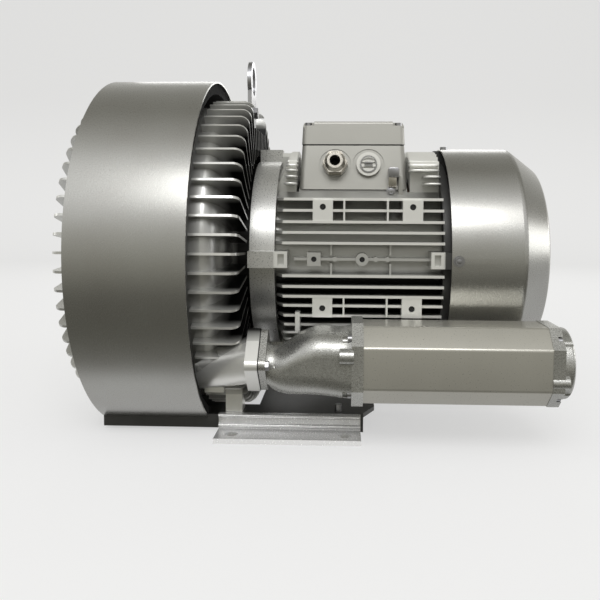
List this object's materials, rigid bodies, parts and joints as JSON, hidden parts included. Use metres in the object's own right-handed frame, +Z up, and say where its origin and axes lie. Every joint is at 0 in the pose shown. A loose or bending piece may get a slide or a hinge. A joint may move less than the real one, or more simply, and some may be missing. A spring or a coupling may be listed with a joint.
{
  "type": "side channel blower",
  "caption": "Two-stage side channel blower on a finned flange motor, with noise band, side silencers, terminal box and foot rails.",
  "frame": {"origin": "centre of the foot bolt pattern on the floor plane, under the shaft", "axes": "+X along the shaft from the pump towards the motor fan, +Z up"},
  "size_m": [0.5265, 0.4192, 0.435],
  "materials": {
    "cast_silver": "silver painted die-cast aluminium",
    "casing_silver": "silver painted die-cast aluminium, thin fins",
    "sand_cast": "rough sand cast aluminium, silver paint",
    "sheet_silver": "satin silver sheet steel",
    "foam_black": "open cell acoustic foam",
    "steel_zinc": "zinc plated screws",
    "steel_ground": "machined steel",
    "bearing_steel": "ground bearing steel",
    "lamination": "stacked electrical steel",
    "copper": "varnished copper windings",
    "rubber_black": "moulded rubber",
    "nickel": "nickel plated brass",
    "fan_plastic": "glass filled polypropylene",
    "block_plastic": "moulded terminal block",
    "extrusion": "extruded aluminium, silver paint",
    "rail_aluminium": "extruded aluminium, mill finish",
    "plate_dark": "dark painted steel plate",
    "plastic_plug": "moulded plug"
  },
  "bodies": {
    "stator": {"rear_casing": "casing_silver", "centre_casing": "casing_silver", "front_casing": "casing_silver", "casing_bolts": "steel_zinc", "shaft_seal": "rubber_black", "drive_bearing_outer_ring": "bearing_steel", "fan_bearing_outer_ring": "bearing_steel", "drive_end_shield": "sand_cast", "flange_screws": "steel_zinc", "motor_frame": "cast_silver", "stator_core": "lamination", "stator_windings": "copper", "fan_end_shield": "cast_silver", "shield_screws": "steel_zinc", "fan_cover": "sheet_silver", "terminal_box": "cast_silver", "lid_gasket": "rubber_black", "terminal_lid": "cast_silver", "lid_screws": "steel_zinc", "m5_screws": "steel_zinc", "terminal_block": "block_plastic", "terminal_studs": "nickel", "gland_body": "nickel", "gland_nut": "nickel", "gland_seal": "rubber_black", "blanking_plug": "plastic_plug", "entry_locknuts": "nickel", "elbow_near": "sand_cast", "elbow_far": "sand_cast", "silencer_tube_near": "extrusion", "silencer_tube_far": "extrusion", "silencer_absorbers": "foam_black", "end_cap_near": "sand_cast", "end_cap_far": "sand_cast", "port_gaskets": "rubber_black", "silencer_screws": "steel_zinc", "lifting_lug": "steel_zinc", "noise_band": "sheet_silver", "band_liner": "foam_black", "band_brackets": "steel_ground", "m6_screws": "steel_zinc", "base_plate": "plate_dark", "foot_rail_near": "rail_aluminium", "foot_rail_far": "rail_aluminium", "m8_screws": "steel_zinc"},
    "rotor": {"impeller_front": "cast_silver", "impeller_rear": "cast_silver", "shaft": "steel_ground", "shaft_keys": "steel_ground", "impeller_spacer": "steel_ground", "seal_sleeve": "steel_ground", "end_washer": "steel_zinc", "impeller_bolt": "steel_zinc", "drive_bearing_inner_ring": "bearing_steel", "fan_bearing_inner_ring": "bearing_steel", "rotor_core": "lamination", "cooling_fan": "fan_plastic", "fan_circlip": "steel_ground"},
    "drive_cage": {"drive_bearing_cage_balls": "bearing_steel"},
    "fan_cage": {"fan_bearing_cage_balls": "bearing_steel"}
  },
  "joints": [
    {"name": "rotor_spin", "type": "hinge", "parent": "stator", "child": "rotor", "pos_m": [0, 0, 0.198], "axis": [1, 0, 0], "continuous": true},
    {"name": "drive_cage_spin", "type": "hinge", "parent": "stator", "child": "drive_cage", "pos_m": [0, 0, 0.198], "axis": [1, 0, 0], "continuous": true},
    {"name": "fan_cage_spin", "type": "hinge", "parent": "stator", "child": "fan_cage", "pos_m": [0, 0, 0.198], "axis": [1, 0, 0], "continuous": true}
  ],
  "couplings": [
    {"joint": "drive_cage_spin", "follows": "rotor_spin", "ratio": 0.3846},
    {"joint": "fan_cage_spin", "follows": "rotor_spin", "ratio": 0.3846}
  ]
}
